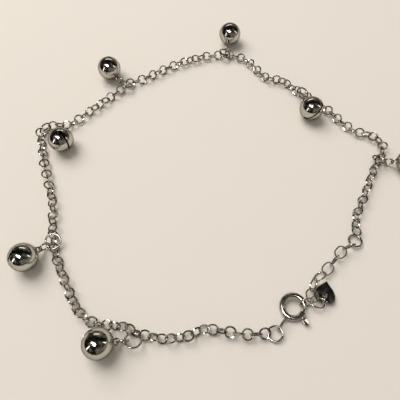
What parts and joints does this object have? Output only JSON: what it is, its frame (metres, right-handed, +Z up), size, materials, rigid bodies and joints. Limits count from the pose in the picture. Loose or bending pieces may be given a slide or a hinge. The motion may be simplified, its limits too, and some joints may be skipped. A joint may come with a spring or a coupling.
{
  "type": "payal anklet",
  "caption": "Chain anklet of round rolo links with small round slit bells on jump rings, a spring-ring clasp and an extension tail with a heart tag, lying in a loop.",
  "frame": {"origin": "centre of the whole laid-out anklet in X and Y, on the surface that it lies on", "axes": "+Z up from the surface, +Y from the clasp's side across the loop to the far side, +X to the right, along the loop's longer side"},
  "size_m": [0.0996, 0.0966, 0.0063],
  "materials": {
    "bell_silver": "mirror polished silver with fine wiping scratches",
    "chain_silver": "polished silver wire, a little darker where links rub",
    "ring_silver": "polished drawn silver wire",
    "clasp_silver": "polished silver tube",
    "tag_silver": "flat polished sheet silver"
  },
  "bodies": {
    "anklet": {"bell_1": "bell_silver", "bell_ring_1": "ring_silver", "bell_link_1": "ring_silver", "bell_2": "bell_silver", "bell_ring_2": "ring_silver", "bell_link_2": "ring_silver", "bell_3": "bell_silver", "bell_ring_3": "ring_silver", "bell_link_3": "ring_silver", "bell_4": "bell_silver", "bell_ring_4": "ring_silver", "bell_link_4": "ring_silver", "bell_5": "bell_silver", "bell_ring_5": "ring_silver", "bell_link_5": "ring_silver", "bell_6": "bell_silver", "bell_ring_6": "ring_silver", "bell_link_6": "ring_silver", "bell_7": "bell_silver", "bell_ring_7": "ring_silver", "bell_link_7": "ring_silver", "chain_run_1": "chain_silver", "chain_run_2": "chain_silver", "chain_run_3": "chain_silver", "chain_run_4": "chain_silver", "chain_run_5": "chain_silver", "chain_run_6": "chain_silver", "chain_run_7": "chain_silver", "chain_run_8": "chain_silver", "clasp_body": "clasp_silver", "end_ring_clasp": "ring_silver", "end_ring_tail": "ring_silver", "tail_chain": "chain_silver", "tail_link_clasped": "ring_silver", "tail_link_last": "ring_silver", "tag_ring": "ring_silver", "heart_tag": "tag_silver"},
    "trigger": {"clasp_trigger": "clasp_silver"}
  },
  "joints": [
    {"name": "trigger_pull", "type": "hinge", "parent": "anklet", "child": "trigger", "pos_m": [0.01361, -0.03726, 0.00103], "axis": [0.0782, 0.1355, -0.9877], "range_deg": [0, 38], "stiffness_Nm_per_rad": 0.004, "springref_deg": -11.46}
  ]
}
